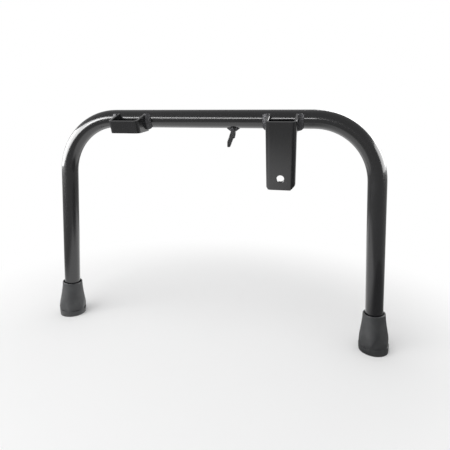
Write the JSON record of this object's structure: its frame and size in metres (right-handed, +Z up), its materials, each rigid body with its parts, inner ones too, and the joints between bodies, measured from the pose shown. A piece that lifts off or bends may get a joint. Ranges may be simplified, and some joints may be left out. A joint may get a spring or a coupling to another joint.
{
  "type": "motorcycle centre stand",
  "caption": "Inverted U-shaped tubular stand with two folded brackets welded to its bar, a spring hook and rubber feet.",
  "frame": {"origin": "on the floor, midway between the two feet and midway between the front of the brackets and the back of the feet", "axes": "+X along the bar from the short bracket to the long one, +Y away from the brackets, +Z up"},
  "size_m": [0.46, 0.0548, 0.29],
  "materials": {
    "gloss_black_enamel": "gloss black enamel",
    "black_rubber": "moulded satin black rubber",
    "zinc_plated_steel": "zinc plated"
  },
  "bodies": {
    "root": {"u_tube": "gloss_black_enamel", "long_bracket": "gloss_black_enamel", "short_bracket": "gloss_black_enamel", "spring_hook": "gloss_black_enamel", "hook_weld": "gloss_black_enamel", "long_bracket_weld_left": "gloss_black_enamel", "long_bracket_weld_right": "gloss_black_enamel", "short_bracket_weld_left": "gloss_black_enamel", "short_bracket_weld_right": "gloss_black_enamel", "rubber_foot_left": "black_rubber", "rubber_foot_right": "black_rubber", "foot_washer_left": "zinc_plated_steel", "foot_washer_right": "zinc_plated_steel"}
  },
  "joints": []
}
